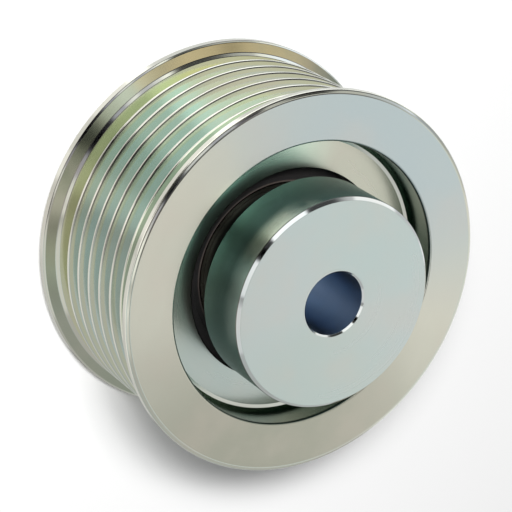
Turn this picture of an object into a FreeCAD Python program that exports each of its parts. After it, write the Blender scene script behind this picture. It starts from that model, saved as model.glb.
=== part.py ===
import FreeCAD, Part
import math
import os

# Belt tensioner pulley on its own double-row ball bearing, in millimetres.
# The axis is Z. The pulley stands on the seating face of its rear collar at z = 0,
# and the origin is the middle of the through bore on that face.

# Belt grooves, PK section
GROOVE_COUNT = 7
GROOVE_PITCH = 3.56
GROOVE_ANGLE = 40.0
CREST_WIDTH = 0.46
CREST_ROUND = 0.25
ROOT_ROUND = 0.5

# Drum
DRUM_WALL = 3.2
FLANGE_HEIGHT = 1.75
FRONT_FLANGE_FOOT = 1.9
REAR_FLANGE_FOOT = 2.5
REAR_FLANGE_SLOPE = 27.0
REAR_RIM_BEVEL = 0.25
REAR_RIM_EDGE_ROUND = 0.1
REAR_FOOT_ROUND = 0.5
FIRST_GROOVE_OFFSET = 0.8
LEAD_CONE_DROP = 0.45
LEAD_CONE_RISE = 0.42
RIM_CHAMFER_RADIAL = 0.52
RIM_CHAMFER_AXIAL = 0.32
FRONT_RIM_ROUND = 0.2
FRONT_LIP_ROUND = 0.4
REAR_EDGE_BREAK = 0.3
SEAT_CORNER_ROUND = 0.5
REAR_LIP = 3.0
LIP_COVER = 3.0
DRUM_STANDOFF = 1.2

# Retaining ring in front of the bearing
RETAINER_THICKNESS = 3.3
RETAINER_WIDTH = 6.1
RETAINER_RIM_WIDTH = 0.65
RETAINER_RIM_RISE = 0.2
RETAINER_EDGE_BREAK = 0.2

# Ball bearing
BEARING_BORE = 20.0
INNER_RACE_WALL = 3.56
OUTER_RACE_WALL = 3.56
BALL_D = 6.35
BALLS_PER_ROW = 8
ROW_GAP = 1.45
RACE_CONFORMITY = 0.52
RACE_CLEARANCE = 0.015
SHOULDER_HEIGHT = 1.1
INNER_LAND_WALL = 4.07
RING_CORNER_CHAMFER = 0.6

# Cages
CAGE_THICKNESS = 2.2
CAGE_WEB = 0.6
CAGE_LIP_REACH = 1.6
POCKET_CLEARANCE = 0.125
CAGE_END_CLEARANCE = 0.2

# Seals
SEAL_THICKNESS = 0.7
SEAL_RECESS = 0.3
SEAL_GROOVE_WALL = 3.0
SEAL_GROOVE_DEPTH = 0.3
SEAL_LIP_CLEARANCE = 0.08
SEAL_LIP_WIDTH = 0.9
SEAL_LIP_RISE = 0.15

# Headed hub
HEAD_PROUD = 8.2
HEAD_SUNK = 1.8
HEAD_CHAMFER = 0.5
HEAD_CLEARANCE = 0.1
SHOULDER_INSET = 0.57
NECK_FILLET = 0.8
SPIGOT_FILLET = 0.4
SPIGOT_SHORT = 0.3
BORE_D = 10.3
BORE_CHAMFER = 0.3

# Rear collar
COLLAR_CHAMFER = 0.5

# Radii worked out from the sizes above
spigot_r = BEARING_BORE / 2
ball_r = BALL_D / 2
inner_race_r = spigot_r + INNER_RACE_WALL
pitch_r = inner_race_r + RACE_CLEARANCE + ball_r
outer_race_r = pitch_r + ball_r + RACE_CLEARANCE
seat_r = outer_race_r + OUTER_RACE_WALL
pocket_r = ball_r + POCKET_CLEARANCE
half_angle = math.radians(GROOVE_ANGLE / 2)
groove_opening = GROOVE_PITCH - CREST_WIDTH
groove_vee = groove_opening / 2 / math.tan(half_angle)
groove_depth = groove_vee - ROOT_ROUND * (1 / math.sin(half_angle) - 1)
crest_r = seat_r + DRUM_WALL + groove_depth
rim_r = crest_r + FLANGE_HEIGHT
lip_r = seat_r - LIP_COVER
inner_land_r = spigot_r + INNER_LAND_WALL
shoulder_r = inner_land_r - SHOULDER_INSET
seal_groove_r = seat_r - SEAL_GROOVE_WALL
seal_mouth_r = seal_groove_r - SEAL_GROOVE_DEPTH
retainer_hole_r = seat_r - RETAINER_WIDTH
head_r = retainer_hole_r - HEAD_CLEARANCE
bore_r = BORE_D / 2

# Heights worked out from the sizes above
drum_width = (FRONT_FLANGE_FOOT + GROOVE_COUNT * GROOVE_PITCH - CREST_WIDTH
              + FIRST_GROOVE_OFFSET + REAR_FLANGE_FOOT)
row_offset = ROW_GAP / 2 + ball_r
cage_end = row_offset + pocket_r + CAGE_WEB
bearing_width = 2 * (cage_end + CAGE_END_CLEARANCE + SEAL_THICKNESS + SEAL_RECESS)
drum_rear_z = DRUM_STANDOFF
drum_front_z = drum_rear_z + drum_width
bearing_rear_z = drum_rear_z + REAR_LIP
bearing_front_z = bearing_rear_z + bearing_width
bearing_mid_z = bearing_rear_z + bearing_width / 2
retainer_front_z = bearing_front_z + RETAINER_THICKNESS
head_rear_z = drum_front_z - HEAD_SUNK
head_front_z = drum_front_z + HEAD_PROUD

AXIS = FreeCAD.Vector(0, 0, 1)
CENTRE = FreeCAD.Vector(0, 0, 0)


def rounded_corner(before, corner, after, radius):
    """Entry point, middle and exit point of the tangent arc that rounds one corner."""
    back = (before - corner).normalize()
    ahead = (after - corner).normalize()
    half = back.getAngle(ahead) / 2
    reach = radius / math.tan(half)
    middle = corner + (back + ahead).normalize() * (radius / math.sin(half) - radius)
    return corner + back * reach, middle, corner + ahead * reach


def turned(corners):
    """Solid of revolution from (radius, height) or (radius, height, round) corners."""
    points = [FreeCAD.Vector(corner[0], 0, corner[1]) for corner in corners]
    count = len(points)
    spans = []
    for index, corner in enumerate(corners):
        if len(corner) == 3:
            before = points[index - 1]
            after = points[(index + 1) % count]
            spans.append(rounded_corner(before, points[index], after, corner[2]))
        else:
            spans.append((points[index],))
    edges = []
    for index, span in enumerate(spans):
        following = spans[(index + 1) % count]
        if len(span) == 3:
            edges.append(Part.Arc(*span).toShape())
        edges.append(Part.LineSegment(span[-1], following[0]).toShape())
    face = Part.Face(Part.Wire(edges))
    return face.revolve(CENTRE, AXIS, 360)


def groove_corners(rear_z):
    """Rear crest, root and front crest of one groove whose rear side starts at rear_z."""
    return [
        (crest_r, rear_z, CREST_ROUND),
        (crest_r - groove_vee, rear_z + groove_opening / 2, ROOT_ROUND),
        (crest_r, rear_z + groove_opening, CREST_ROUND),
    ]


def lead_in_corners(foot_z, groove_z):
    """End of the cone that leads into the first groove, and that groove's flat root."""
    cone_r = crest_r - LEAD_CONE_DROP
    cone_z = foot_z + LEAD_CONE_RISE
    root_r = crest_r - groove_depth
    slope = math.tan(half_angle)
    return [
        (cone_r, cone_z, CREST_ROUND),
        (root_r, cone_z + (cone_r - root_r) * slope, ROOT_ROUND),
        (root_r, groove_z + groove_opening - groove_depth * slope, ROOT_ROUND),
    ]


def make_drum():
    """Flanged drum with its grooves, bearing seat and rear lip, turned in one piece."""
    foot_z = drum_rear_z + REAR_FLANGE_FOOT
    slope_run = (FLANGE_HEIGHT - REAR_RIM_BEVEL) * math.tan(math.radians(REAR_FLANGE_SLOPE))
    bevel_z = foot_z - slope_run
    first_groove_z = foot_z + FIRST_GROOVE_OFFSET
    corners = [
        (lip_r + REAR_EDGE_BREAK, drum_rear_z),
        (rim_r - RIM_CHAMFER_RADIAL, drum_rear_z),
        (rim_r, drum_rear_z + RIM_CHAMFER_AXIAL),
        (rim_r, bevel_z - REAR_RIM_BEVEL, REAR_RIM_EDGE_ROUND),
        (rim_r - REAR_RIM_BEVEL, bevel_z, REAR_RIM_EDGE_ROUND),
        (crest_r, foot_z, REAR_FOOT_ROUND),
    ]
    grooves = []
    for index in range(GROOVE_COUNT):
        grooves += groove_corners(first_groove_z + index * GROOVE_PITCH)
    grooves[0:2] = lead_in_corners(foot_z, first_groove_z)
    corners += grooves
    # The front side of the last groove runs straight on up the front flange
    corners.pop()
    flank_run = (groove_vee + FLANGE_HEIGHT) * math.tan(half_angle)
    last_root_z = corners[-1][1]
    corners += [
        (rim_r, last_root_z + flank_run, FRONT_RIM_ROUND),
        (rim_r, drum_front_z - RIM_CHAMFER_AXIAL),
        (rim_r - RIM_CHAMFER_RADIAL, drum_front_z),
        (seat_r, drum_front_z, FRONT_LIP_ROUND),
        (seat_r, bearing_rear_z, SEAT_CORNER_ROUND),
        (lip_r, bearing_rear_z),
        (lip_r, drum_rear_z + REAR_EDGE_BREAK),
    ]
    return turned(corners)


def make_retaining_ring():
    """Ring pressed into the seat in front of the bearing, its outer rim slightly raised."""
    return turned([
        (retainer_hole_r, bearing_front_z),
        (seat_r, bearing_front_z),
        (seat_r, retainer_front_z + RETAINER_RIM_RISE),
        (seat_r - RETAINER_RIM_WIDTH, retainer_front_z),
        (retainer_hole_r + RETAINER_EDGE_BREAK, retainer_front_z),
        (retainer_hole_r, retainer_front_z - RETAINER_EDGE_BREAK),
    ])


def cut_races(ring, race_r):
    """Two ball tracks cut in a bearing ring; race_r is the radius of each track's centre."""
    for side in (-1, 1):
        height = FreeCAD.Vector(0, 0, bearing_mid_z + side * row_offset)
        ring = ring.cut(Part.makeTorus(race_r, BALL_D * RACE_CONFORMITY, height))
    return ring


def make_outer_ring():
    """Bearing outer ring with two tracks and a snap groove for the seal at each end."""
    shoulder = outer_race_r - SHOULDER_HEIGHT
    seal_depth = SEAL_RECESS + SEAL_THICKNESS
    ring = turned([
        (seal_mouth_r, bearing_rear_z),
        (seat_r - RING_CORNER_CHAMFER, bearing_rear_z),
        (seat_r, bearing_rear_z + RING_CORNER_CHAMFER),
        (seat_r, bearing_front_z - RING_CORNER_CHAMFER),
        (seat_r - RING_CORNER_CHAMFER, bearing_front_z),
        (seal_mouth_r, bearing_front_z),
        (seal_mouth_r, bearing_front_z - SEAL_RECESS),
        (seal_groove_r, bearing_front_z - SEAL_RECESS),
        (seal_groove_r, bearing_front_z - seal_depth),
        (shoulder, bearing_front_z - seal_depth),
        (shoulder, bearing_rear_z + seal_depth),
        (seal_groove_r, bearing_rear_z + seal_depth),
        (seal_groove_r, bearing_rear_z + SEAL_RECESS),
        (seal_mouth_r, bearing_rear_z + SEAL_RECESS),
    ])
    return cut_races(ring, outer_race_r - BALL_D * RACE_CONFORMITY)


def make_inner_ring():
    """Bearing inner ring, whose plain land at each end is where the seal lip runs."""
    shoulder = inner_race_r + SHOULDER_HEIGHT
    land = SEAL_RECESS + SEAL_THICKNESS + CAGE_END_CLEARANCE
    ring = turned([
        (spigot_r + RING_CORNER_CHAMFER, bearing_rear_z),
        (inner_land_r, bearing_rear_z),
        (inner_land_r, bearing_rear_z + land),
        (shoulder, bearing_rear_z + land),
        (shoulder, bearing_front_z - land),
        (inner_land_r, bearing_front_z - land),
        (inner_land_r, bearing_front_z),
        (spigot_r + RING_CORNER_CHAMFER, bearing_front_z),
        (spigot_r, bearing_front_z - RING_CORNER_CHAMFER),
        (spigot_r, bearing_rear_z + RING_CORNER_CHAMFER),
    ])
    return cut_races(ring, inner_race_r + BALL_D * RACE_CONFORMITY)


def make_seal(face_z, side):
    """Rubber disc seal; face_z is its outer face and side is +1 at the front, -1 at the rear."""
    lip_r_inner = inner_land_r + SEAL_LIP_CLEARANCE
    lip_r_outer = lip_r_inner + SEAL_LIP_WIDTH
    back_z = face_z - side * SEAL_THICKNESS
    lip_z = face_z + side * SEAL_LIP_RISE
    return turned([
        (lip_r_inner, back_z),
        (seal_groove_r, back_z),
        (seal_groove_r, face_z),
        (lip_r_outer + SEAL_LIP_RISE, face_z),
        (lip_r_outer, lip_z),
        (lip_r_inner, lip_z),
    ])


def ball_places(side):
    """Centres of the balls of one row; the rear row sits half a step round from the front."""
    step = 2 * math.pi / BALLS_PER_ROW
    phase = 0 if side > 0 else step / 2
    places = []
    for index in range(BALLS_PER_ROW):
        angle = phase + index * step
        places.append(FreeCAD.Vector(pitch_r * math.cos(angle), pitch_r * math.sin(angle),
                                     bearing_mid_z + side * row_offset))
    return places


def make_cage(side):
    """Snap cage of one row, closed towards its seal and open towards the other row."""
    row_z = bearing_mid_z + side * row_offset
    open_z = row_z - side * CAGE_LIP_REACH
    closed_z = bearing_mid_z + side * cage_end
    inner_r = pitch_r - CAGE_THICKNESS / 2
    outer_r = pitch_r + CAGE_THICKNESS / 2
    cage = turned([(inner_r, open_z), (outer_r, open_z), (outer_r, closed_z), (inner_r, closed_z)])
    for place in ball_places(side):
        cage = cage.cut(Part.makeSphere(pocket_r, place))
    return cage


def make_hub():
    """Headed hub: head, neck down to the inner ring and spigot through it, bored through."""
    return turned([
        (bore_r + BORE_CHAMFER, SPIGOT_SHORT),
        (spigot_r - COLLAR_CHAMFER, SPIGOT_SHORT),
        (spigot_r, SPIGOT_SHORT + COLLAR_CHAMFER),
        (spigot_r, bearing_front_z, SPIGOT_FILLET),
        (shoulder_r, bearing_front_z),
        (shoulder_r, head_rear_z, NECK_FILLET),
        (head_r, head_rear_z),
        (head_r, head_front_z - HEAD_CHAMFER),
        (head_r - HEAD_CHAMFER, head_front_z),
        (bore_r + BORE_CHAMFER, head_front_z),
        (bore_r, head_front_z - BORE_CHAMFER),
        (bore_r, SPIGOT_SHORT + BORE_CHAMFER),
    ])


def make_rear_collar():
    """Collar pressed on the spigot; its rear face is the pulley's seating face."""
    return turned([
        (spigot_r + COLLAR_CHAMFER, 0),
        (shoulder_r - COLLAR_CHAMFER, 0),
        (shoulder_r, COLLAR_CHAMFER),
        (shoulder_r, bearing_rear_z),
        (spigot_r, bearing_rear_z),
        (spigot_r, COLLAR_CHAMFER),
    ])


def make_pieces():
    """Every piece of the pulley by name."""
    pieces = {
        "drum": make_drum(),
        "retaining_ring": make_retaining_ring(),
        "bearing_outer_ring": make_outer_ring(),
        "bearing_inner_ring": make_inner_ring(),
        "seal_front": make_seal(bearing_front_z - SEAL_RECESS, 1),
        "seal_rear": make_seal(bearing_rear_z + SEAL_RECESS, -1),
        "hub": make_hub(),
        "rear_collar": make_rear_collar(),
    }
    for row, side in (("front", 1), ("rear", -1)):
        pieces["cage_" + row] = make_cage(side)
        for index, place in enumerate(ball_places(side), start=1):
            pieces["ball_%s_%d" % (row, index)] = Part.makeSphere(ball_r, place)
    return pieces


os.makedirs("parts", exist_ok=True)
for name, shape in make_pieces().items():
    shape.exportStep("parts/" + name + ".step")
    print(name, "valid" if shape.isValid() else "INVALID", round(shape.Volume, 2))
print("ribs", round(2 * crest_r, 3), "flanges", round(2 * rim_r, 3), "width", round(drum_width, 3),
      "height", round(head_front_z, 3), "bearing", round(2 * seat_r, 3), round(bearing_width, 3))
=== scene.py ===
"""Studio scene of a grooved belt tensioner pulley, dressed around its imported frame."""

import logging
import math
from dataclasses import dataclass, field
from enum import Enum
from typing import Dict, List, Optional, Sequence, Tuple

import bpy
from mathutils import Matrix, Vector


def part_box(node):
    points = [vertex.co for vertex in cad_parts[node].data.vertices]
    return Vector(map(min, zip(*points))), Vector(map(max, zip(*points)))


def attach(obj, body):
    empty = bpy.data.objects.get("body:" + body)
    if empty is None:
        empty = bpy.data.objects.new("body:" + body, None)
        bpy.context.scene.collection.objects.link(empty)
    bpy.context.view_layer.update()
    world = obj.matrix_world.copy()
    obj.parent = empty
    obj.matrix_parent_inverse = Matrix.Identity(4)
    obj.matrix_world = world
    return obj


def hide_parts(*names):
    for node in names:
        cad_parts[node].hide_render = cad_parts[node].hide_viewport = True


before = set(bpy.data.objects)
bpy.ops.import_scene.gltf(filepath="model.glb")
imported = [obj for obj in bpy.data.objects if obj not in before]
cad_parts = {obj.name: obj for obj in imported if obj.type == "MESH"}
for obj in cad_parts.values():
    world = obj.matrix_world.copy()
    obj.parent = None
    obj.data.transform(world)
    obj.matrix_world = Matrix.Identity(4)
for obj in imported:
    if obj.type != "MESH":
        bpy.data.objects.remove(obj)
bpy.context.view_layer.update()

LOG = logging.getLogger("pulley")
MM = 0.001
TURN_STEPS = 360
ARC_STEP = math.radians(14.0)
LEAST_ARC_STEPS = 2
LAND_STEP = 0.57 * MM
FLOAT = "NodeSocketFloat"
COLOUR = "NodeSocketColor"
Triple = Tuple[float, float, float]
Colour = Triple
Socket = bpy.types.NodeSocket
WHITE: Colour = (1.0, 1.0, 1.0)


# Sections of turned pieces
class Skin(Enum):
    """Kind of machined surface on one stretch of a turned piece."""

    FACE = "faced"
    BRIGHT = "bright chamfer"
    GROOVE = "groove"
    FLANK = "lower flank"
    SIDE = "turned side"
    FLANGE = "rear flange slope"
    BORE = "bore"
    # Painted shade line: a dark strip on rounded edges and beside the rib crests, painted where
    # those edges show dark reflections.
    PAINTED_SHADE_LINE = "broken edge"
    # Painted shade line on the recess lip's round and on the top of the wall below it.
    LIP_SHADE_LINE = "seat lip line"
    # Painted shade on the hub neck and the head's underside, which lie in the recess under the head.
    SHADED_NECK = "oiled neck"
    LIP = "seal lip"


class LightPathKind(Enum):
    """Outputs of the Light Path node that the studio uses."""

    CAMERA = "Is Camera Ray"
    GLOSSY = "Is Glossy Ray"
    TRANSMISSION = "Is Transmission Ray"


@dataclass(frozen=True)
class Corner:
    """One corner of a half section, rounded by an arc where round is above 0.

    skin belongs to the stretch that leaves the corner, and to the arc. Where arc_skin is given,
    the arc's first share has that skin instead.
    """

    radius: float
    height: float
    round: float = 0.0
    skin: Skin = Skin.FACE
    arc_skin: Optional[Skin] = None
    arc_share: float = 1.0


@dataclass(frozen=True)
class Stretch:
    """One straight step of a finished section, with the true normals at its two ends."""

    start: Vector
    end: Vector
    start_normal: Vector
    end_normal: Vector
    skin: Skin


def outward(direction: Vector) -> Vector:
    """Outward normal of a section edge that runs anticlockwise.

    Args:
        direction: unit direction of the edge, as radius and height.

    Returns:
        The unit normal, as radius and height.
    """
    return Vector((direction.y, -direction.x))


def arc_stretches(corner: Corner, ahead_in: Vector, ahead_out: Vector) -> List[Stretch]:
    """Steps of the tangent arc that rounds one corner.

    Args:
        corner: the corner to round.
        ahead_in: unit direction of the edge that reaches it.
        ahead_out: unit direction of the edge that leaves it.

    Returns:
        The arc's steps, with the arc's own normals.
    """
    turn = math.atan2(ahead_in.cross(ahead_out), ahead_in.dot(ahead_out))
    side = math.copysign(1.0, turn)
    reach = corner.round * math.tan(abs(turn) / 2)
    entry = Vector((corner.radius, corner.height)) - ahead_in * reach
    first_normal = outward(ahead_in)
    centre = entry - first_normal * corner.round * side
    count = max(LEAST_ARC_STEPS, math.ceil(abs(turn) / ARC_STEP))
    normals = [Matrix.Rotation(turn * step / count, 2) @ first_normal for step in range(count + 1)]
    points = [centre + normal * corner.round * side for normal in normals]
    first_part = corner.arc_share * count
    skins = [corner.arc_skin if corner.arc_skin and i < first_part else corner.skin
             for i in range(count)]
    return [Stretch(points[i], points[i + 1], normals[i], normals[i + 1], skins[i])
            for i in range(count)]


def section(corners: Sequence[Corner]) -> List[Stretch]:
    """Closed half section through the corners, rounded where they say so.

    Args:
        corners: the corners in anticlockwise order of radius and height.

    Returns:
        Every step of the section in order.
    """
    places = [Vector((corner.radius, corner.height)) for corner in corners]
    count = len(corners)
    heading = [(places[(i + 1) % count] - places[i]).normalized() for i in range(count)]
    arcs = [arc_stretches(corner, heading[i - 1], heading[i]) if corner.round > 0 else []
            for i, corner in enumerate(corners)]
    steps: List[Stretch] = []
    for i, corner in enumerate(corners):
        steps += arcs[i]
        following = arcs[(i + 1) % count]
        start = arcs[i][-1].end if arcs[i] else places[i]
        end = following[0].start if following else places[(i + 1) % count]
        normal = outward(heading[i])
        steps.append(Stretch(start, end, normal, normal, corner.skin))
    return steps


def sweep(steps: Sequence[Stretch]) -> Tuple[List[Triple], List[Tuple[int, int, int, int]],
                                             List[Triple]]:
    """Turns a section about the Z axis.

    Args:
        steps: the section's steps.

    Returns:
        The vertices, the faces and the normal at each corner of each face.
    """
    count = len(steps)
    angles = [2 * math.pi * i / TURN_STEPS for i in range(TURN_STEPS)]
    rounds = [(math.cos(angle), math.sin(angle)) for angle in angles]
    verts = [(step.start.x * c, step.start.x * s, step.start.y) for c, s in rounds for step in steps]
    faces: List[Tuple[int, int, int, int]] = []
    normals: List[Triple] = []
    for i, here in enumerate(rounds):
        there = rounds[(i + 1) % TURN_STEPS]
        row, following = i * count, (i + 1) % TURN_STEPS * count
        for j, step in enumerate(steps):
            k = (j + 1) % count
            faces.append((row + j, following + j, following + k, row + k))
            for (c, s), normal in ((here, step.start_normal), (there, step.start_normal),
                                   (there, step.end_normal), (here, step.end_normal)):
                normals.append((normal.x * c, normal.x * s, normal.y))
    return verts, faces, normals


def turned_mesh(name: str, corners: Sequence[Corner],
                finishes: Dict[Skin, bpy.types.Material]) -> bpy.types.Object:
    """Turned piece about the Z axis with exact normals on its arcs, cones and flats.

    Args:
        name: name of the piece.
        corners: its half section.
        finishes: the material of each skin that the section uses.

    Returns:
        The new object, linked to the scene.
    """
    steps = section(corners)
    used = [skin for skin in finishes if any(step.skin == skin for step in steps)]
    verts, faces, normals = sweep(steps)
    mesh = bpy.data.meshes.new(name)
    mesh.from_pydata(verts, [], faces)
    mesh.polygons.foreach_set("use_smooth", [True] * len(faces))
    for skin in used:
        mesh.materials.append(finishes[skin])
    slots = [used.index(step.skin) for step in steps]
    mesh.polygons.foreach_set("material_index", slots * TURN_STEPS)
    mesh.update()
    mesh.normals_split_custom_set(normals)
    piece = bpy.data.objects.new(name, mesh)
    bpy.context.scene.collection.objects.link(piece)
    return piece


# Shader graphs
class Graph:
    """Short way to add and join nodes in one tree."""

    def __init__(self, tree: bpy.types.NodeTree) -> None:
        """Keeps the tree.

        Args:
            tree: the tree that the nodes go into.
        """
        self.tree = tree

    def add(self, kind: str, **settings: object) -> bpy.types.Node:
        """Adds one node.

        Args:
            kind: the node's type.
            settings: properties to set on it.

        Returns:
            The new node.
        """
        node = self.tree.nodes.new(kind)
        for key, value in settings.items():
            setattr(node, key, value)
        return node

    def feed(self, target: Socket, value: object) -> None:
        """Joins a socket to the target, or sets the target's value.

        Args:
            target: the input socket.
            value: an output socket or a plain value.
        """
        if isinstance(value, bpy.types.NodeSocket):
            self.tree.links.new(value, target)
        else:
            target.default_value = value

    def math(self, operation: str, *values: object, clamp: bool = False) -> Socket:
        """Adds a Math node.

        Args:
            operation: what it does.
            values: its inputs.
            clamp: whether the result stays between 0 and 1.

        Returns:
            The result's socket.
        """
        node = self.add("ShaderNodeMath", operation=operation, use_clamp=clamp)
        for index, value in enumerate(values):
            self.feed(node.inputs[index], value)
        return node.outputs[0]

    def dot(self, vector: Socket, direction: Sequence[float]) -> Socket:
        """Dot product with a fixed direction.

        Args:
            vector: the vector's socket.
            direction: the direction.

        Returns:
            The value's socket.
        """
        node = self.add("ShaderNodeVectorMath", operation="DOT_PRODUCT")
        self.feed(node.inputs[0], vector)
        self.feed(node.inputs[1], tuple(direction))
        return node.outputs["Value"]

    def ramp(self, value: Socket, low: float, high: float, start: float = 0.0,
             end: float = 1.0) -> Socket:
        """Smooth step of a value from start to end between low and high.

        Args:
            value: the value to map.
            low: where the step begins.
            high: where it ends.
            start: result below low.
            end: result above high.

        Returns:
            The result's socket.
        """
        node = self.add("ShaderNodeMapRange", interpolation_type="SMOOTHSTEP")
        for index, item in enumerate((value, low, high, start, end)):
            self.feed(node.inputs[index], item)
        return node.outputs[0]

    def blend(self, factor: object, first: object, second: object, mode: str = "MIX") -> Socket:
        """Blends two colours.

        Args:
            factor: how much of the second.
            first: the first colour.
            second: the second colour.
            mode: the blend type.

        Returns:
            The colour's socket.
        """
        node = self.add("ShaderNodeMix", data_type="RGBA", blend_type=mode)
        self.feed(node.inputs[0], factor)
        self.feed(node.inputs[6], first)
        self.feed(node.inputs[7], second)
        return node.outputs[2]

    def noise(self, vector: Socket, scale: float, detail: float, roughness: float = 0.5) -> Socket:
        """Noise value at a vector.

        Args:
            vector: where to read it.
            scale: its scale.
            detail: its octaves.
            roughness: how strong the fine octaves are.

        Returns:
            The value's socket.
        """
        node = self.add("ShaderNodeTexNoise")
        self.feed(node.inputs["Vector"], vector)
        self.feed(node.inputs["Scale"], scale)
        self.feed(node.inputs["Detail"], detail)
        self.feed(node.inputs["Roughness"], roughness)
        return node.outputs[0]

    def bump(self, height: Socket, depth: float) -> Socket:
        """Normal of a surface with fine relief.

        Args:
            height: the relief's height socket.
            depth: its depth in metres.

        Returns:
            The normal's socket.
        """
        node = self.add("ShaderNodeBump")
        self.feed(node.inputs["Strength"], 1.0)
        self.feed(node.inputs["Distance"], depth)
        self.feed(node.inputs["Height"], height)
        return node.outputs[0]


def rgba(colour: Colour) -> Tuple[float, float, float, float]:
    """Colour with full alpha.

    Args:
        colour: the colour.

    Returns:
        Its three parts and 1.
    """
    return (*colour, 1.0)


def new_group(name: str, inputs: Dict[str, Tuple[str, object]],
              outputs: Dict[str, str]) -> Tuple[bpy.types.NodeTree, Graph]:
    """Empty shader node group with named sockets.

    Args:
        name: the group's name.
        inputs: socket type and default value by name.
        outputs: socket type by name.

    Returns:
        The group and a graph to fill it.
    """
    group = bpy.data.node_groups.new(name, "ShaderNodeTree")
    for key, (kind, value) in inputs.items():
        socket = group.interface.new_socket(name=key, in_out="INPUT", socket_type=kind)
        socket.default_value = value
    for key, kind in outputs.items():
        group.interface.new_socket(name=key, in_out="OUTPUT", socket_type=kind)
    return group, Graph(group)


def axis_place(graph: Graph) -> Tuple[Socket, Sequence[Socket], Socket]:
    """Where a shading point lies on a turned piece.

    Args:
        graph: the graph that asks.

    Returns:
        Its position, the position's three parts, and its angle about the Z axis.
    """
    position = graph.add("ShaderNodeTexCoord").outputs["Object"]
    parts = graph.add("ShaderNodeSeparateXYZ")
    graph.feed(parts.inputs[0], position)
    return position, parts.outputs, graph.math("ARCTAN2", parts.outputs[1], parts.outputs[0])


RING_ROUGHNESS = 0.6
PITCH_DETAIL = 2.0
BAND_DETAIL = 3.0


def ring_noise(graph: Graph, section_place: Sequence[Socket], width: Socket,
               detail: float) -> Socket:
    """Noise that runs in rings around the axis.

    Args:
        graph: the group's graph.
        section_place: radius, height and slow swing around the axis.
        width: width of the rings.
        detail: the noise's octaves.

    Returns:
        The value's socket.
    """
    radius, height, swing = section_place
    spot = graph.add("ShaderNodeCombineXYZ")
    graph.feed(spot.inputs[0], graph.math("DIVIDE", radius, width))
    graph.feed(spot.inputs[1], graph.math("DIVIDE", height, width))
    graph.feed(spot.inputs[2], swing)
    return graph.noise(spot.outputs[0], 1.0, detail, RING_ROUGHNESS)


def make_lathe_lay() -> bpy.types.NodeTree:
    """Group for the fine rings that a turning tool leaves around the Z axis.

    Returns:
        The group, with outputs Height and Band.
    """
    group, graph = new_group(
        "lathe lay",
        {"Pitch": (FLOAT, 0.2 * MM), "Band Width": (FLOAT, 2.0 * MM), "Break Up": (FLOAT, 1.0)},
        {"Height": FLOAT, "Band": FLOAT})
    given = graph.add("NodeGroupInput").outputs
    parts, angle = axis_place(graph)[1:]
    across = graph.add("ShaderNodeCombineXYZ")
    graph.feed(across.inputs[0], parts[0])
    graph.feed(across.inputs[1], parts[1])
    length = graph.add("ShaderNodeVectorMath", operation="LENGTH")
    graph.feed(length.inputs[0], across.outputs[0])
    swing = graph.math("MULTIPLY", graph.math("SINE", angle), given["Break Up"])
    section_place = (length.outputs["Value"], parts[2], swing)
    result = graph.add("NodeGroupOutput").inputs
    graph.feed(result["Height"], ring_noise(graph, section_place, given["Pitch"], PITCH_DETAIL))
    graph.feed(result["Band"], ring_noise(graph, section_place, given["Band Width"], BAND_DETAIL))
    return group


FILM_AND_REFLECTION_COLOURS = ("Straw", "Blue", "Deep", "Rose", "Foot Shade")
FILM_AND_REFLECTION_VALUES = ("Blue Turn", "Deep Turn", "Patch", "Rose Share", "Lobe Edge", "Lobe Climb",
               "Foot Start", "Foot End")
CLOUD_SCALE = 90.0
CLOUD_DETAIL = 3.0
LOBE_FULL = 0.99
ROSE_START = 0.42
ROSE_END = 0.75


def foot_climb(graph: Graph, height: Socket, start: Socket, end: Socket) -> Socket:
    """Smooth rise from 0 to 1 over a stretch of height.

    Args:
        graph: the group's graph.
        height: the height here.
        start: where the rise starts.
        end: where it ends.

    Returns:
        The value's socket.
    """
    span = graph.math("SUBTRACT", end, start)
    rise = graph.math("DIVIDE", graph.math("SUBTRACT", height, start), span)
    return graph.ramp(rise, 0.0, 1.0)


def painted_reflection_lobe(graph: Graph, turned: Socket, drift: Socket, edge: Socket, kept: Socket) -> Socket:
    """Share of one painted reflection lobe, a colour lobe at a fixed angle around the axis.

    Args:
        graph: the group's graph.
        turned: angle from the lobe's middle.
        drift: cloudy change of its border.
        edge: cosine of the angle at which it begins.
        kept: how much of it stays at this height.

    Returns:
        The share's socket.
    """
    facing = graph.math("ADD", graph.math("COSINE", turned), drift)
    return graph.math("MULTIPLY", graph.ramp(facing, edge, LOBE_FULL), kept)


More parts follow.
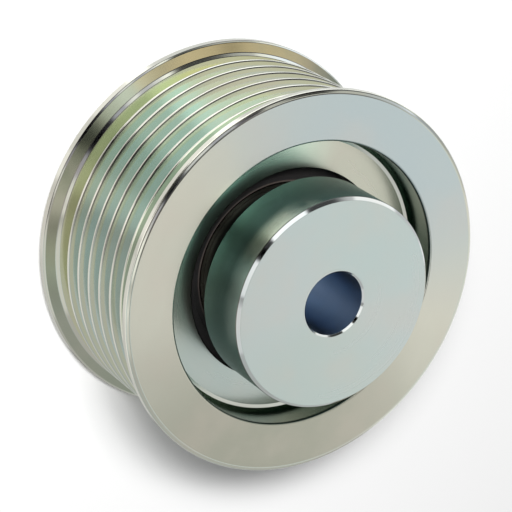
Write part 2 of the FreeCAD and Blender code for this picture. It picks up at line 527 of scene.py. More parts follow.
def make_film_and_reflection_tint() -> bpy.types.NodeTree:
    """Group for the thin passivation colour, drifting in patches, and the painted reflection lobes.

    Returns:
        The group, with the output Colour.
    """
    inputs = {name: (COLOUR, rgba(WHITE)) for name in FILM_AND_REFLECTION_COLOURS}
    inputs.update({name: (FLOAT, 0.0) for name in FILM_AND_REFLECTION_VALUES})
    group, graph = new_group("passivation film", inputs, {"Colour": COLOUR})
    given = graph.add("NodeGroupInput").outputs
    position, parts, angle = axis_place(graph)
    cloud = graph.noise(position, CLOUD_SCALE, CLOUD_DETAIL)
    drift = graph.math("MULTIPLY", graph.math("SUBTRACT", cloud, 0.5), given["Patch"])
    climb = foot_climb(graph, parts[2], given["Foot Start"], given["Foot End"])
    # Lobe Climb fades the painted reflection lobes toward the foot.
    sunk = graph.math("MULTIPLY", graph.math("SUBTRACT", 1.0, climb), given["Lobe Climb"])
    kept = graph.math("SUBTRACT", 1.0, sunk)
    colour = given["Straw"]
    # Blue and Deep are painted reflections: colour lobes at fixed angles around the axis, lighter or
    # darker where the surface shows light or dark reflections.
    for name in ("Blue", "Deep"):
        turned = graph.math("SUBTRACT", angle, given[name + " Turn"])
        share = painted_reflection_lobe(graph, turned, drift, given["Lobe Edge"], kept)
        colour = graph.blend(share, colour, given[name])
    rose = graph.math("MULTIPLY", graph.ramp(cloud, ROSE_START, ROSE_END), given["Rose Share"])
    flushed = graph.blend(rose, colour, given["Rose"])
    # Foot Shade multiplies the colour below Foot End: a painted shade, darker toward the bottom, on
    # the recess wall, and a slight straw tint on the grooves.
    shadow = graph.blend(climb, given["Foot Shade"], rgba(WHITE))
    result = graph.add("NodeGroupOutput").inputs
    graph.feed(result["Colour"], graph.blend(1.0, flushed, shadow, "MULTIPLY"))
    return group


# Finishes
ACROSS_THE_LAY = 0.25


@dataclass(frozen=True)
class ZincFinish:
    """Zinc-plated turned steel with its passivation colours and tool marks.

    straw is the passivation base colour; blue and deep are painted reflection lobes around the
    axis, turned to blue_turn and deep_turn degrees. Below foot_end the foot shade darkens the
    colour.
    """

    name: str
    straw: Colour
    blue: Colour
    deep: Colour
    roughness: float
    grain: float = 0.05
    patch: float = 0.35
    rose: Colour = (0.6, 0.53, 0.46)
    rose_share: float = 0.25
    lobe_edge: float = 0.1
    lobe_climb: float = 0.0
    foot_shade: Colour = WHITE
    foot_start: float = 0.0
    foot_end: float = 1.0 * MM
    blue_turn: float = 185.0
    deep_turn: float = 25.0
    lay_pitch: float = 0.16 * MM
    lay_height: float = 0.001 * MM
    anisotropy: float = 0.3

    def film_and_reflection_values(self) -> Dict[str, object]:
        """Values for the group of passivation colour and painted reflection lobes.

        Returns:
            The value of each input by name.
        """
        return {"Straw": rgba(self.straw), "Blue": rgba(self.blue), "Deep": rgba(self.deep),
                "Rose": rgba(self.rose), "Foot Shade": rgba(self.foot_shade),
                "Blue Turn": math.radians(self.blue_turn),
                "Deep Turn": math.radians(self.deep_turn), "Patch": self.patch,
                "Rose Share": self.rose_share, "Lobe Edge": self.lobe_edge,
                "Lobe Climb": self.lobe_climb, "Foot Start": self.foot_start,
                "Foot End": self.foot_end}

    def material(self, lay: bpy.types.NodeTree, film_and_reflections: bpy.types.NodeTree) -> bpy.types.Material:
        """Builds the material.

        Args:
            lay: the lathe lay group.
            film_and_reflections: the group of passivation colour and painted reflection lobes.

        Returns:
            The material.
        """
        made = bpy.data.materials.new(self.name)
        made.use_nodes = True
        graph = Graph(made.node_tree)
        shader = made.node_tree.nodes["Principled BSDF"].inputs
        tint = graph.add("ShaderNodeGroup", node_tree=film_and_reflections)
        for key, value in self.film_and_reflection_values().items():
            tint.inputs[key].default_value = value
        marks = graph.add("ShaderNodeGroup", node_tree=lay)
        marks.inputs["Pitch"].default_value = self.lay_pitch
        band = graph.math("SUBTRACT", marks.outputs["Band"], 0.5)
        wear = graph.math("MULTIPLY", band, self.grain * 2)
        tone = graph.math("ADD", wear, 1.0)
        shade = graph.add("ShaderNodeCombineColor")
        for channel in shade.inputs:
            graph.feed(channel, tone)
        tangent = graph.add("ShaderNodeTangent", direction_type="RADIAL", axis="Z")
        graph.feed(shader["Base Color"],
                   graph.blend(1.0, tint.outputs["Colour"], shade.outputs[0], "MULTIPLY"))
        graph.feed(shader["Roughness"], graph.math("ADD", wear, self.roughness))
        graph.feed(shader["Normal"], graph.bump(marks.outputs["Height"], self.lay_height))
        graph.feed(shader["Tangent"], tangent.outputs[0])
        shader["Metallic"].default_value = 1.0
        shader["Anisotropic"].default_value = self.anisotropy
        shader["Anisotropic Rotation"].default_value = ACROSS_THE_LAY
        return made


@dataclass(frozen=True)
class PlainFinish:
    """Ground steel, moulded rubber or nylon, each with a fine grain of its own."""

    name: str
    light: Colour
    dark: Colour
    metallic: float
    roughness: float
    grain_scale: float
    grain_height: float
    grain_detail: float = 4.0
    grain_roughness: float = 0.6
    grain_range: Tuple[float, float] = (0.2, 0.8)
    cloud_share: float = 12.0
    cloud_detail: float = 2.0
    cloud_range: Tuple[float, float] = (0.3, 0.7)
    wear: float = 0.15

    def material(self) -> bpy.types.Material:
        """Builds the material.

        Returns:
            The material.
        """
        made = bpy.data.materials.new(self.name)
        made.use_nodes = True
        graph = Graph(made.node_tree)
        shader = made.node_tree.nodes["Principled BSDF"].inputs
        place = graph.add("ShaderNodeTexCoord").outputs["Object"]
        grain = graph.noise(place, self.grain_scale, self.grain_detail, self.grain_roughness)
        cloud = graph.noise(place, self.grain_scale / self.cloud_share, self.cloud_detail)
        graph.feed(shader["Base Color"], graph.blend(graph.ramp(cloud, *self.cloud_range),
                                                     rgba(self.dark), rgba(self.light)))
        graph.feed(shader["Roughness"],
                   graph.ramp(grain, *self.grain_range, self.roughness * (1 - self.wear),
                              self.roughness * (1 + self.wear)))
        graph.feed(shader["Normal"], graph.bump(grain, self.grain_height))
        shader["Metallic"].default_value = self.metallic
        return made


# Painted edge shade: a dark finish on the hub head's edge arc and on the recess lip line, painted
# where those edges show dark reflections.
PAINTED_EDGE_SHADE = ZincFinish("zinc_painted_edge_shade", (0.13, 0.13, 0.11), (0.11, 0.13, 0.13),
                         (0.12, 0.13, 0.11), 0.25)

DRUM_FINISHES = {
    # Drum face: the deep lobe makes the face darker around 25 degrees, a painted shade; the blue
    # lobe makes it bluer around 185 degrees.
    Skin.FACE: ZincFinish("zinc_drum_face", (0.58, 0.575, 0.49), (0.45, 0.52, 0.525),
                          (0.38, 0.385, 0.315), 0.24),
    # Drum chamfer: the dark deep lobe around 258 degrees is a painted dark reflection.
    Skin.BRIGHT: ZincFinish("zinc_drum_chamfer", (0.54, 0.55, 0.47), (0.55, 0.6, 0.6),
                            (0.17, 0.175, 0.19), 0.12, grain=0.02, deep_turn=258.0,
                            lobe_edge=0.9),
    # Grooves and lower flanks: the lobes around 250 and 205 degrees are painted reflection tints,
    # teal and straw; the foot shade makes the rear grooves a little more straw.
    Skin.GROOVE: ZincFinish("zinc_drum_groove", (0.56, 0.59, 0.46), (0.56, 0.63, 0.48),
                            (0.59, 0.6, 0.42), 0.14, grain=0.03, blue_turn=250.0,
                            deep_turn=205.0, lobe_edge=0.77, foot_shade=(1.0, 0.98, 0.88),
                            foot_start=3.0 * MM, foot_end=13.0 * MM),
    Skin.FLANK: ZincFinish("zinc_lower_flank", (0.53, 0.62, 0.58), (0.54, 0.66, 0.59),
                           (0.57, 0.61, 0.5), 0.14, grain=0.03, blue_turn=250.0,
                           deep_turn=205.0, lobe_edge=0.77, foot_shade=(1.0, 0.98, 0.9),
                           foot_start=3.0 * MM, foot_end=13.0 * MM),
    Skin.SIDE: ZincFinish("zinc_drum_side", (0.76, 0.75, 0.66), (0.76, 0.78, 0.71),
                          (0.66, 0.68, 0.6), 0.14, grain=0.03),
    # Flange slope: the lobes are painted reflections, golden around 218 degrees and dark olive
    # around 287 degrees.
    Skin.FLANGE: ZincFinish("zinc_flange_slope", (0.33, 0.37, 0.29), (0.63, 0.53, 0.29),
                            (0.19, 0.21, 0.14), 0.2, grain=0.04, blue_turn=218.0,
                            deep_turn=287.0, lobe_edge=0.76),
    # Painted shade line: dark in lobes around 218 and 263 degrees, where the edges show dark
    # reflections, and pale elsewhere.
    Skin.PAINTED_SHADE_LINE: ZincFinish("zinc_shade_line", (0.5, 0.54, 0.48), (0.1, 0.1, 0.095),
                          (0.1, 0.1, 0.085), 0.2, blue_turn=218.0, deep_turn=263.0,
                          lobe_edge=0.74),
    # The recess lip line takes the painted edge shade.
    Skin.LIP_SHADE_LINE: PAINTED_EDGE_SHADE,
    # Recess wall: the foot shade is painted shade, darker toward the bottom of the recess.
    Skin.BORE: ZincFinish("zinc_drum_bore", (0.48, 0.47, 0.4), (0.46, 0.52, 0.48),
                          (0.42, 0.44, 0.38), 0.22, foot_shade=(0.2, 0.3, 0.25),
                          foot_start=25.8 * MM, foot_end=28.8 * MM),
}

RING_FINISHES = {
    # Ring face: the lobes are painted reflections, darker green around 0 degrees and bright green
    # around 252 degrees.
    Skin.FACE: ZincFinish("zinc_ring_face", (0.52, 0.53, 0.44), (0.43, 0.5, 0.47),
                          (0.66, 0.88, 0.72), 0.26, blue_turn=0.0, deep_turn=252.0,
                          lobe_edge=0.55),
    Skin.BRIGHT: ZincFinish("zinc_ring_rim", (0.74, 0.72, 0.6), (0.68, 0.71, 0.65),
                            (0.66, 0.69, 0.62), 0.14, grain=0.02),
}

HUB_FINISHES = {
    Skin.FACE: ZincFinish("zinc_hub_face", (0.5, 0.56, 0.545), (0.48, 0.56, 0.54),
                          (0.48, 0.55, 0.52), 0.26, patch=0.2),
    Skin.BRIGHT: ZincFinish("zinc_hub_chamfer", (0.56, 0.6, 0.6), (0.56, 0.6, 0.6),
                            (0.5, 0.54, 0.52), 0.08, grain=0.02),
    # Hub side: the lobes near 251 and 298 degrees are painted highlights near the head, faded toward
    # the neck by lobe_climb, and the dark teal straw base is painted shade.
    Skin.SIDE: ZincFinish("zinc_hub_side", (0.17, 0.29, 0.265), (0.9, 0.98, 0.84),
                          (0.34, 0.46, 0.43), 0.24, blue_turn=251.0, deep_turn=298.0,
                          rose_share=0.0, lobe_edge=0.88, lobe_climb=1.0,
                          foot_start=34.2 * MM, foot_end=37.0 * MM,
                          lay_height=0.0002 * MM, anisotropy=0.94),
    # Hub neck: a dark finish, painted shade inside the bearing recess under the head.
    Skin.SHADED_NECK: ZincFinish("zinc_hub_neck", (0.1, 0.125, 0.115), (0.09, 0.12, 0.12),
                          (0.09, 0.11, 0.105), 0.3, rose_share=0.0),
    Skin.PAINTED_SHADE_LINE: PAINTED_EDGE_SHADE,
    Skin.BORE: ZincFinish("zinc_hub_bore", (0.45, 0.54, 0.66), (0.43, 0.54, 0.68),
                          (0.4, 0.5, 0.62), 0.3, lay_pitch=0.3 * MM),
}


@dataclass
class ZincPlater:
    """Makes the zinc materials from the shared groups, each finish once."""

    lay: bpy.types.NodeTree
    film_and_reflections: bpy.types.NodeTree
    made: Dict[str, bpy.types.Material] = field(default_factory=dict)

    def plate(self, finishes: Dict[Skin, ZincFinish]) -> Dict[Skin, bpy.types.Material]:
        """Materials of one turned piece.

        Args:
            finishes: the finish of each skin.

        Returns:
            The material of each skin.
        """
        for finish in finishes.values():
            if finish.name not in self.made:
                self.made[finish.name] = finish.material(self.lay, self.film_and_reflections)
        return {skin: self.made[finish.name] for skin, finish in finishes.items()}


# Pieces
@dataclass
class BeltDrum:
    """Flanged drum with its seven grooves, and the ring that retains the bearing in it."""

    plater: ZincPlater
    groove_count: int = 7
    groove_pitch: float = 3.56 * MM
    half_angle: float = math.radians(20.0)
    crest_width: float = 0.46 * MM
    crest_round: float = 0.25 * MM
    root_round: float = 0.5 * MM
    flange_height: float = 1.75 * MM
    rear_flange_foot: float = 2.5 * MM
    first_groove_offset: float = 0.8 * MM
    rear_flange_slope: float = math.radians(27.0)
    rear_rim_bevel: float = 0.25 * MM
    rear_foot_round: float = 0.5 * MM
    lead_cone_drop: float = 0.45 * MM
    lead_cone_rise: float = 0.42 * MM
    rim_chamfer_radial: float = 0.52 * MM
    rim_chamfer_axial: float = 0.32 * MM
    front_rim_round: float = 0.2 * MM
    edge_soft: float = 0.07 * MM
    rim_soft: float = 0.18 * MM
    rim_shade: float = 0.2 * MM
    chamfer_shade_share: float = 0.45
    crest_shade: float = 0.25 * MM
    flank_tint: float = 0.75 * MM
    bright_share: float = 0.5
    lip_bright_share: float = 0.34
    chamfer_soft: float = 0.3 * MM
    rear_edge_break: float = 0.3 * MM
    front_lip_round: float = 0.4 * MM
    lip_shade: float = 0.5 * MM
    seat_corner_round: float = 0.5 * MM
    lip_cover: float = 3.0 * MM
    ring_rim_width: float = 0.5 * MM
    ring_rim_rise: float = 0.2 * MM
    ring_edge_break: float = 0.55 * MM
    ring_width: float = 6.1 * MM
    ring_break: float = 0.2 * MM

    def groove_corners(self, crest: float, rear: float, shade: Skin) -> List[Corner]:
        """Rear crest, end of its shade line, change of tint, root and front crest of a groove.

        Args:
            crest: radius of the rib crests.
            rear: height of the groove's rear side.
            shade: skin of the narrow line beside the rear crest.

        Returns:
            The five corners.
        """
        slope = math.tan(self.half_angle)
        opening = self.groove_pitch - self.crest_width
        depth = opening / 2 / slope
        return [
            Corner(crest, rear, self.crest_round, shade, Skin.SIDE, self.bright_share),
            Corner(crest - self.crest_shade, rear + self.crest_shade * slope, 0.0, Skin.GROOVE),
            Corner(crest - self.flank_tint, rear + self.flank_tint * slope, 0.0, Skin.FLANK),
            Corner(crest - depth, rear + opening / 2, self.root_round, Skin.FLANK),
            Corner(crest, rear + opening, self.crest_round, Skin.SIDE),
        ]

    def lead_in_corners(self, crest: float, foot: float) -> List[Corner]:
        """End of the cone that leads into the first groove, and that groove's flat root.

        Args:
            crest: radius of the rib crests.
            foot: height of the rear flange's foot.

        Returns:
            The three corners.
        """
        slope = math.tan(self.half_angle)
        opening = self.groove_pitch - self.crest_width
        depth = opening / 2 / slope - self.root_round * (1 / math.sin(self.half_angle) - 1)
        cone, cone_height = crest - self.lead_cone_drop, foot + self.lead_cone_rise
        root = crest - depth
        front = foot + self.first_groove_offset + opening - depth * slope
        return [
            Corner(cone, cone_height, self.crest_round, Skin.GROOVE, Skin.PAINTED_SHADE_LINE),
            Corner(root, cone_height + (cone - root) * slope, self.root_round, Skin.GROOVE),
            Corner(root, front, self.root_round, Skin.GROOVE),
        ]

    def drum_corners(self) -> List[Corner]:
        """Half section of the drum, placed by its node's box.

        Returns:
            The corners in order.
        """
        low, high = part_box("drum")
        rear, front, rim = low.z, high.z, high.x
        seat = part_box("bearing_outer_ring")[1].x
        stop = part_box("bearing_outer_ring")[0].z
        lip = seat - self.lip_cover
        corners = [
            Corner(lip + self.rear_edge_break, rear, self.edge_soft),
            *self.rear_flange_corners(rim, rear),
            *self.track_corners(rim - self.flange_height, rear + self.rear_flange_foot),
        ]
        root = corners[-1]
        flank_run = (rim - root.radius) * math.tan(self.half_angle)
        return corners + [
            Corner(rim, root.height + flank_run, self.front_rim_round, Skin.SIDE),
            *self.front_rim_corners(rim, front),
            # The lip arc, except its share next to the face, and the wall stretch below it carry the
            # painted shade line.
            Corner(seat, front, self.front_lip_round, Skin.LIP_SHADE_LINE, Skin.FACE,
                   self.lip_bright_share),
            Corner(seat, front - self.lip_shade, 0.0, Skin.BORE),
            Corner(seat, stop, self.seat_corner_round, Skin.BORE),
            Corner(lip, stop, 0.0, Skin.BORE),
            Corner(lip, rear + self.rear_edge_break, self.edge_soft, Skin.BRIGHT),
        ]

    def rear_flange_corners(self, rim: float, rear: float) -> List[Corner]:
        """Rim, bevel and foot of the rear flange.

        Args:
            rim: radius of the flanges.
            rear: height of the drum's rear face.

        Returns:
            The five corners.
        """
        foot = rear + self.rear_flange_foot
        bevel = foot - (self.flange_height - self.rear_rim_bevel) * math.tan(self.rear_flange_slope)
        return [
            Corner(rim - self.rim_chamfer_radial, rear, self.edge_soft, Skin.BRIGHT),
            Corner(rim, rear + self.rim_chamfer_axial, self.edge_soft, Skin.SIDE),
            # These three arcs carry the painted shade line.
            Corner(rim, bevel - self.rear_rim_bevel, self.rim_soft, Skin.BRIGHT, Skin.PAINTED_SHADE_LINE),
            Corner(rim - self.rear_rim_bevel, bevel, self.chamfer_soft, Skin.FLANGE, Skin.PAINTED_SHADE_LINE),
            Corner(rim - self.flange_height, foot, self.rear_foot_round, Skin.BRIGHT, Skin.PAINTED_SHADE_LINE),
        ]

    def track_corners(self, crest: float, foot: float) -> List[Corner]:
        """The belt track, up to the root of its last groove.

        Args:
            crest: radius of the rib crests.
            foot: height of the rear flange's foot.

        Returns:
            The corners in order.
        """
        corners: List[Corner] = []
        for index in range(self.groove_count):
            rise = self.first_groove_offset + index * self.groove_pitch
            shade = Skin.PAINTED_SHADE_LINE if index < self.groove_count - 1 else Skin.GROOVE
            groove = self.groove_corners(crest, foot + rise, shade)
            if index == 0:
                groove = self.lead_in_corners(crest, foot) + groove[-1:]
            corners += groove
        return corners[:-1]

    def front_rim_corners(self, rim: float, front: float) -> List[Corner]:
        """Chamfer of the front rim, with the narrow shade lines on both sides of it.

        Args:
            rim: radius of the flanges.
            front: height of the drum's front face.

        Returns:
            The four corners.
        """
        radial, axial = self.rim_chamfer_radial, self.rim_chamfer_axial
        share = self.chamfer_shade_share
        return [
            Corner(rim, front - axial, self.rim_soft, Skin.PAINTED_SHADE_LINE, Skin.SIDE),
            Corner(rim - radial * share, front - axial * (1 - share), 0.0, Skin.BRIGHT),
            Corner(rim - radial, front, self.chamfer_soft, Skin.PAINTED_SHADE_LINE, Skin.BRIGHT,
                   self.bright_share),
            Corner(rim - radial - self.rim_shade, front, 0.0, Skin.FACE),
        ]

    def ring_corners(self) -> List[Corner]:
        """Half section of the retaining ring, placed by its node's box.

        Returns:
            The corners in order.
        """
        low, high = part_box("retaining_ring")
        rear, rim, seat = low.z, high.z, high.x
        front = rim - self.ring_rim_rise
        hole = seat - self.ring_width
        return [
            Corner(hole, rear),
            Corner(seat, rear),
            Corner(seat, rim - self.ring_edge_break, 0.0, Skin.BRIGHT),
            Corner(seat - self.ring_edge_break, rim, 0.0, Skin.BRIGHT),
            Corner(seat - self.ring_edge_break - self.ring_rim_width, front, 0.0),
            Corner(hole + self.ring_break, front, self.edge_soft, Skin.BRIGHT),
            Corner(hole, front - self.ring_break, self.edge_soft),
        ]

    def build(self) -> None:
        """Makes both pieces, which ride with the drum."""
        drum = turned_mesh("belt_drum", self.drum_corners(), self.plater.plate(DRUM_FINISHES))
        ring = turned_mesh("bearing_retainer", self.ring_corners(),
                           self.plater.plate(RING_FINISHES))
        for piece, node, slot in ((drum, "drum", "drum_zinc"),
                                  (ring, "retaining_ring", "retainer_zinc")):
            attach(piece, "drum_assembly")
            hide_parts(node)
            LOG.info("built %s", piece.name)


@dataclass
class MountingHub:
    """Headed hub and the collar on its rear end."""

    plater: ZincPlater
    bore: float = 5.15 * MM
    bore_chamfer: float = 0.3 * MM
    head_chamfer: float = 0.5 * MM
    head_thickness: float = 10.0 * MM
    spigot: float = 10.0 * MM
    spigot_chamfer: float = 0.5 * MM
    spigot_fillet: float = 0.4 * MM
    neck_fillet: float = 0.8 * MM
    edge_soft: float = 0.07 * MM
    head_soft: float = 0.18 * MM

    def hub_corners(self) -> List[Corner]:
        """Half section of the hub, placed by its node's box.

        Returns:
            The corners in order.
        """
        low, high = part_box("hub")
        rear, front, head = low.z, high.z, high.x
        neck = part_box("rear_collar")[1].x
        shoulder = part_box("bearing_inner_ring")[1].z
        under = front - self.head_thickness
        return [
            Corner(self.bore + self.bore_chamfer, rear, self.edge_soft),
            Corner(self.spigot - self.spigot_chamfer, rear, self.edge_soft, Skin.BRIGHT),
            Corner(self.spigot, rear + self.spigot_chamfer, self.edge_soft, Skin.SIDE),
            Corner(self.spigot, shoulder, self.spigot_fillet),
            # The neck and the head's underside carry the painted neck shade.
            Corner(neck, shoulder, self.edge_soft, Skin.SHADED_NECK),
            Corner(neck, under, self.neck_fillet, Skin.SHADED_NECK),
            Corner(head, under, self.edge_soft, Skin.SIDE),
            # The head's edge arc carries the painted edge shade.
            Corner(head, front - self.head_chamfer, self.head_soft, Skin.BRIGHT, Skin.PAINTED_SHADE_LINE),
            Corner(head - self.head_chamfer, front, self.edge_soft),
            Corner(self.bore + self.bore_chamfer, front, self.edge_soft, Skin.BRIGHT),
            Corner(self.bore, front - self.bore_chamfer, self.edge_soft, Skin.BORE),
            Corner(self.bore, rear + self.bore_chamfer, self.edge_soft, Skin.BRIGHT),
        ]

    def collar_corners(self) -> List[Corner]:
        """Half section of the rear collar, placed by its node's box.

        Returns:
            The corners in order.
        """
        low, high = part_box("rear_collar")
        rear, front, rim = low.z, high.z, high.x
        return [
            Corner(self.spigot + self.spigot_chamfer, rear, self.edge_soft),
            Corner(rim - self.spigot_chamfer, rear, self.edge_soft, Skin.BRIGHT),
            Corner(rim, rear + self.spigot_chamfer, self.edge_soft, Skin.SIDE),
            Corner(rim, front, self.edge_soft),
            Corner(self.spigot, front, 0.0, Skin.SIDE),
            Corner(self.spigot, rear + self.spigot_chamfer, 0.0, Skin.BRIGHT),
        ]

    def build(self) -> None:
        """Makes both pieces, which stand still."""
        skins = self.plater.plate(HUB_FINISHES)
        for name, node, corners in (("headed_hub", "hub", self.hub_corners()),
                                    ("seating_collar", "rear_collar", self.collar_corners())):
            piece = turned_mesh(name, corners, skins)
            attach(piece, "hub_assembly")
            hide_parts(node)
            LOG.info("built %s", name)


@dataclass
class SealedBearing:
    """Rings, balls, cages and rubber seals of the double-row bearing."""

    steel: PlainFinish = PlainFinish("ground_bearing_steel", (0.6, 0.59, 0.57), (0.5, 0.48, 0.45),
                                     1.0, 0.14, 900.0, 0.0004 * MM)
    land: PlainFinish = PlainFinish("greased_land_steel", (0.3, 0.25, 0.21), (0.22, 0.18, 0.15),
                                    1.0, 0.3, 900.0, 0.0006 * MM)
    rubber: PlainFinish = PlainFinish("moulded_seal_rubber", (0.014, 0.013, 0.013),
                                      (0.009, 0.009, 0.009), 0.0, 0.6, 1500.0, 0.004 * MM)
    # Seal lip bead: a lighter brown strip inside the lip, a painted highlight line in brown.
    lip: PlainFinish = PlainFinish("seal_lip_painted_highlight", (0.09, 0.075, 0.065), (0.06, 0.05, 0.045),
                                   0.3, 0.45, 1500.0, 0.002 * MM)
    nylon: PlainFinish = PlainFinish("glass_filled_nylon", (0.72, 0.66, 0.5), (0.62, 0.56, 0.42),
                                     0.0, 0.5, 1200.0, 0.003 * MM)
    lip_width: float = 0.9 * MM
    lip_rise: float = 0.15 * MM
    lip_bead: float = 0.3 * MM
    lip_clearance: float = 0.08 * MM
    edge_soft: float = 0.05 * MM

    def seal_corners(self, node: str, front: bool, land: float) -> List[Corner]:
        """Half section of one seal with its raised lip and the lighter brown bead inside the lip, a
        painted highlight line.

        Args:
            node: the seal's CAD node.
            front: whether it is the front seal.
            land: radius of the inner ring's land.

        Returns:
            The corners in anticlockwise order.
        """
        low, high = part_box(node)
        inner = land + self.lip_clearance
        outer = high.x
        lip = inner + self.lip_width
        if front:
            back, face, crest = low.z, high.z - self.lip_rise, high.z
            return [
                Corner(inner, back),
                Corner(outer, back),
                Corner(outer, face, self.edge_soft),
                Corner(lip + self.lip_rise, face, self.edge_soft),
                Corner(lip, crest, self.edge_soft),
                Corner(inner + self.lip_bead, crest, 0.0, Skin.LIP),
                Corner(inner, crest, self.edge_soft),
            ]
        back, face, crest = high.z, low.z + self.lip_rise, low.z
        return [
            Corner(inner, crest, self.edge_soft, Skin.LIP),
            Corner(inner + self.lip_bead, crest),
            Corner(lip, crest, self.edge_soft),
            Corner(lip + self.lip_rise, face, self.edge_soft),
            Corner(outer, face, self.edge_soft),
            Corner(outer, back),
            Corner(inner, back),
        ]

    def build(self, land: float) -> None:
        """Makes the seals and dresses the CAD nodes that stay.

        Args:
            land: radius of the inner ring's land.
        """
        rubber = {Skin.FACE: self.rubber.material(), Skin.LIP: self.lip.material()}
        for node, name in (("seal_front", "front_rubber_seal"), ("seal_rear", "rear_rubber_seal")):
            corners = self.seal_corners(node, node == "seal_front", land)
            piece = turned_mesh(name, corners, rubber)
            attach(piece, "drum_assembly")
            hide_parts(node)
            LOG.info("built %s", name)
        steel, inner, nylon = self.steel.material(), self.land.material(), self.nylon.material()
        for node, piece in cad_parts.items():
            if node.startswith("ball_") or node == "bearing_outer_ring":
                self.dress(piece, steel)
            elif node == "bearing_inner_ring":
                self.dress(piece, inner)
            elif node.startswith("cage_"):
                self.dress(piece, nylon)

    def dress(self, piece: bpy.types.Object, material: bpy.types.Material) -> None:
        """Gives a CAD node its material.

        Args:
            piece: the node's object.
            material: the material.
        """
        piece.data.materials.clear()
        piece.data.materials.append(material)
        LOG.info("dressed %s", piece.name)


# Studio
@dataclass(frozen=True)
class Panel:
    """One cloth panel of the tent in degrees: centre, half sizes and brightness."""

    azimuth: float
    elevation: float
    half_width: float
    half_height: float
    brightness: float
    softness: float = 4.0


@dataclass(frozen=True)
class Seam:
    """Narrow dark gap between two cloths of the tent, along a circle of directions."""

    normal: Triple
    offset: float
    half_width: float
    lowest: float
    core_share: float = 0.6
    fade: float = 0.2


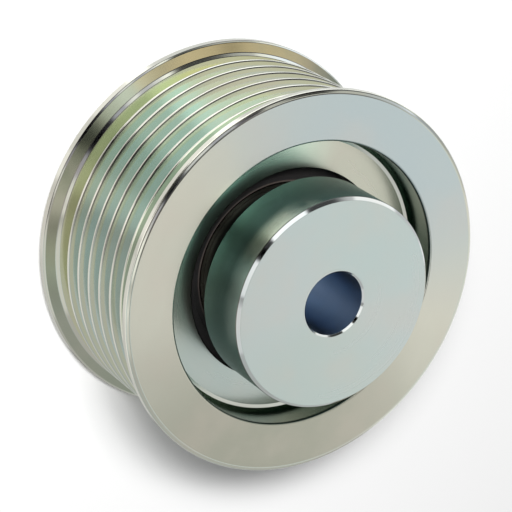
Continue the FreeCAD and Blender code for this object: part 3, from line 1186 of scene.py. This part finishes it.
@dataclass
class Studio:
    """White tent, pale floor, soft lamps and the camera."""

    floor_radius: float = 0.6
    floor_sides: int = 128
    floor_albedo: float = 0.8
    floor_glow: float = 0.02
    ambient: float = 0.22
    key_row: Tuple[Triple, ...] = (
        (-0.086, -0.534, 0.603), (-0.122, -0.462, 0.603), (-0.158, -0.391, 0.603))
    key_size: float = 0.12
    key_power: float = 2.6
    fill_place: Triple = (0.5, 0.3, 0.6)
    fill_size: float = 0.7
    fill_power: float = 0.4
    lens: float = 154.69
    sensor: float = 36.0
    nearest: float = 10.0 * MM
    off_axis: Triple = (0.0, -219.01 * MM, 264.19 * MM)
    aim: Triple = (0.49 * MM, -11.53 * MM, 0.0)
    roll: float = math.radians(-123.64)
    cloth_brightness: float = 0.8
    panels: Tuple[Panel, ...] = (
        Panel(35.0, 0.0, 46.0, 90.0, 0.68, 6.0),
        Panel(98.0, 10.0, 18.0, 90.0, 1.12, 4.0),
        Panel(80.0, -52.0, 20.0, 15.0, 0.2),
        Panel(134.0, 18.0, 11.0, 12.0, 0.55),
        Panel(-22.0, 15.0, 22.0, 42.0, 1.0),
        Panel(-68.0, -50.0, 11.0, 45.0, 1.05),
        Panel(-68.0, 12.0, 11.0, 18.0, 1.4),
        Panel(-66.0, 34.0, 17.0, 7.0, 1.2),
        Panel(-64.0, 53.0, 19.0, 15.0, 1.55),
        Panel(-54.0, -35.0, 6.0, 25.0, 0.7),
        Panel(-54.0, 8.0, 6.0, 22.0, 0.38),
        Panel(-142.0, -38.0, 9.0, 48.0, 1.6),
        Panel(-119.0, -38.0, 14.0, 48.0, 1.05),
        Panel(-128.0, 38.0, 20.0, 38.0, 1.75),
        Panel(-100.0, -10.0, 6.0, 24.0, 0.04, 3.0),
        Panel(-85.0, 0.0, 8.0, 30.0, 0.2),
        Panel(-96.0, 53.0, 11.0, 24.0, 0.05),
        Panel(-43.0, 37.0, 5.0, 4.0, 0.45, 2.0),
        Panel(-41.0, 62.0, 9.0, 8.0, 1.5),
        Panel(-27.0, 60.0, 5.0, 6.0, 0.45, 2.0),
        Panel(-13.0, 56.0, 8.0, 7.0, 1.35, 3.0),
        Panel(-163.0, -18.0, 22.0, 27.0, 1.7),
        Panel(156.0, 2.0, 16.0, 17.0, 1.5),
        Panel(-169.5, 37.0, 22.0, 17.0, 0.08, 6.0),
        Panel(176.0, 54.0, 22.0, 9.0, 0.85, 3.0),
        Panel(-164.0, 66.0, 20.0, 6.0, 0.8, 3.0),
        Panel(-48.0, 76.0, 28.0, 8.0, 0.3, 2.0),
        Panel(-92.0, 76.0, 55.0, 4.0, 0.8, 3.0),
        Panel(-90.0, 87.0, 95.0, 15.0, 0.42, 4.0),
        Panel(-90.0, 90.0, 95.0, 8.0, 0.3, 4.0),
        Panel(90.0, 79.0, 45.0, 14.0, 0.12, 3.0),
        Panel(90.0, 87.0, 95.0, 10.0, 0.35, 3.0),
    )
    seams: Tuple[Seam, ...] = (Seam((0.99, 0.0, -0.139), -0.13, 0.075, -0.75),)

    def panel_mask(self, graph: Graph, heading: Socket, climb: Socket, panel: Panel) -> Socket:
        """Mask of one panel, 1 inside it.

        Args:
            graph: the world's graph.
            heading: the direction looked in.
            climb: its elevation in radians.
            panel: the panel.

        Returns:
            The mask's socket.
        """
        turn = math.radians(panel.azimuth)
        ahead = graph.dot(heading, (math.cos(turn), math.sin(turn), 0.0))
        aside = graph.dot(heading, (-math.sin(turn), math.cos(turn), 0.0))
        lift = graph.math("SUBTRACT", climb, math.radians(panel.elevation))
        masks = []
        for value, half in ((graph.math("ARCTAN2", aside, ahead), panel.half_width),
                            (lift, panel.half_height)):
            edge, core = half + panel.softness / 2, half - panel.softness / 2
            masks.append(graph.ramp(graph.math("ABSOLUTE", value), math.radians(core),
                                    math.radians(edge), 1.0, 0.0))
        return graph.math("MULTIPLY", *masks)

    def mirror_ray(self, graph: Graph, path: bpy.types.NodeOutputs) -> Socket:
        """Whether a ray was reflected or passed through something clear.

        Args:
            graph: the graph that asks.
            path: outputs of its Light Path node.

        Returns:
            The answer's socket, 1 for yes.
        """
        return graph.math("MAXIMUM", path[LightPathKind.GLOSSY.value],
                          path[LightPathKind.TRANSMISSION.value])

    def tent(self, graph: Graph) -> Socket:
        """Brightness of the tent by direction, as the metal sees it.

        Args:
            graph: the world's graph.

        Returns:
            The brightness socket.
        """
        heading = graph.add("ShaderNodeTexCoord").outputs["Generated"]
        climb = graph.math("ARCSINE", graph.dot(heading, (0.0, 0.0, 1.0)))
        value: object = self.cloth_brightness
        for panel in self.panels:
            mask = self.panel_mask(graph, heading, climb, panel)
            change = graph.math("SUBTRACT", panel.brightness, value)
            value = graph.math("MULTIPLY_ADD", mask, change, value)
        for seam in self.seams:
            away = graph.math("SUBTRACT", graph.dot(heading, seam.normal), seam.offset)
            gap = graph.ramp(graph.math("ABSOLUTE", away), seam.half_width * seam.core_share,
                             seam.half_width, 1.0, 0.0)
            near = graph.ramp(graph.dot(heading, (0.0, -1.0, 0.0)), 0.0, seam.fade)
            low = graph.ramp(climb, seam.lowest, seam.lowest + seam.fade)
            dark = graph.math("MULTIPLY", gap, graph.math("MULTIPLY", near, low))
            value = graph.math("MULTIPLY", value, graph.math("SUBTRACT", 1.0, dark))
        return value

    def build_world(self) -> None:
        """White ground for the camera, the tent for the metal and a plain fill for the rest."""
        world = bpy.data.worlds.new("white tent")
        world.use_nodes = True
        world.cycles.sampling_method = "NONE"
        bpy.context.scene.world = world
        graph = Graph(world.node_tree)
        ground = world.node_tree.nodes["Background"]
        path = graph.add("ShaderNodeLightPath").outputs
        shade = self.tent(graph)
        tent = graph.add("ShaderNodeCombineColor")
        for channel in tent.inputs:
            graph.feed(channel, shade)
        fill = rgba((self.ambient,) * 3)
        seen = graph.blend(self.mirror_ray(graph, path), fill, tent.outputs[0])
        graph.feed(ground.inputs["Color"],
                   graph.blend(path[LightPathKind.CAMERA.value], seen, rgba(WHITE)))
        ground.inputs["Strength"].default_value = 1.0

    def build_floor(self) -> None:
        """Pale floor disc that keeps the pulley's soft shadow."""
        bpy.ops.mesh.primitive_circle_add(vertices=self.floor_sides, radius=self.floor_radius,
                                          fill_type="NGON")
        floor = bpy.context.object
        floor.name = "studio_floor"
        made = bpy.data.materials.new("pale_floor")
        made.use_nodes = True
        graph = Graph(made.node_tree)
        tree = made.node_tree
        tree.nodes.remove(tree.nodes["Principled BSDF"])
        paper = graph.add("ShaderNodeBsdfDiffuse")
        paper.inputs["Color"].default_value = rgba((self.floor_albedo,) * 3)
        path = graph.add("ShaderNodeLightPath").outputs
        seen = graph.math("MAXIMUM", self.mirror_ray(graph, path),
                          path[LightPathKind.CAMERA.value])
        glow = graph.add("ShaderNodeEmission")
        graph.feed(glow.inputs["Strength"], graph.math("MULTIPLY", seen, self.floor_glow))
        both = graph.add("ShaderNodeAddShader")
        graph.feed(both.inputs[0], paper.outputs[0])
        graph.feed(both.inputs[1], glow.outputs[0])
        graph.feed(tree.nodes["Material Output"].inputs["Surface"], both.outputs[0])
        floor.data.materials.append(made)
        floor.visible_glossy = False

    def lamp(self, name: str, place: Triple, size: float, power: float) -> None:
        """Adds one soft square lamp that looks at the pulley.

        Args:
            name: the lamp's name.
            place: where it stands, in metres.
            size: its side.
            power: its power in watts.
        """
        data = bpy.data.lights.new(name, "AREA")
        data.size = size
        data.energy = power
        lamp = bpy.data.objects.new(name, data)
        lamp.location = place
        lamp.rotation_euler = (-Vector(place)).to_track_quat("-Z", "Y").to_euler()
        lamp.visible_glossy = False
        bpy.context.scene.collection.objects.link(lamp)

    def build_camera(self, front: float) -> None:
        """Camera at the photograph's viewing angle.

        Args:
            front: height of the drum's front face.
        """
        data = bpy.data.cameras.new("studio camera")
        data.lens = self.lens
        data.sensor_width = self.sensor
        data.clip_start = self.nearest
        camera = bpy.data.objects.new("studio camera", data)
        lift = Vector((0.0, 0.0, front))
        place, aim = Vector(self.off_axis) + lift, Vector(self.aim) + lift
        level = (aim - place).to_track_quat("-Z", "Y").to_matrix().to_4x4()
        camera.matrix_world = (Matrix.Translation(place) @ level
                               @ Matrix.Rotation(-self.roll, 4, "Z"))
        bpy.context.scene.collection.objects.link(camera)
        bpy.context.scene.camera = camera

    def build(self, front: float) -> None:
        """Builds the whole studio.

        Args:
            front: height of the drum's front face.
        """
        self.build_world()
        self.build_floor()
        for number, place in enumerate(self.key_row, 1):
            self.lamp(f"key {number}", place, self.key_size, self.key_power)
        self.lamp("fill", self.fill_place, self.fill_size, self.fill_power)
        self.build_camera(front)
        bpy.context.scene.view_settings.view_transform = "Standard"
        LOG.info("built the studio")


def main() -> None:
    """Builds the studio and every piece in order."""
    logging.basicConfig(level=logging.INFO, format="%(name)s: %(message)s")
    plater = ZincPlater(make_lathe_lay(), make_film_and_reflection_tint())
    BeltDrum(plater).build()
    MountingHub(plater).build()
    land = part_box("rear_collar")[1].x + LAND_STEP
    SealedBearing().build(land)
    Studio().build(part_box("drum")[1].z)


if __name__ == "__main__":
    main()
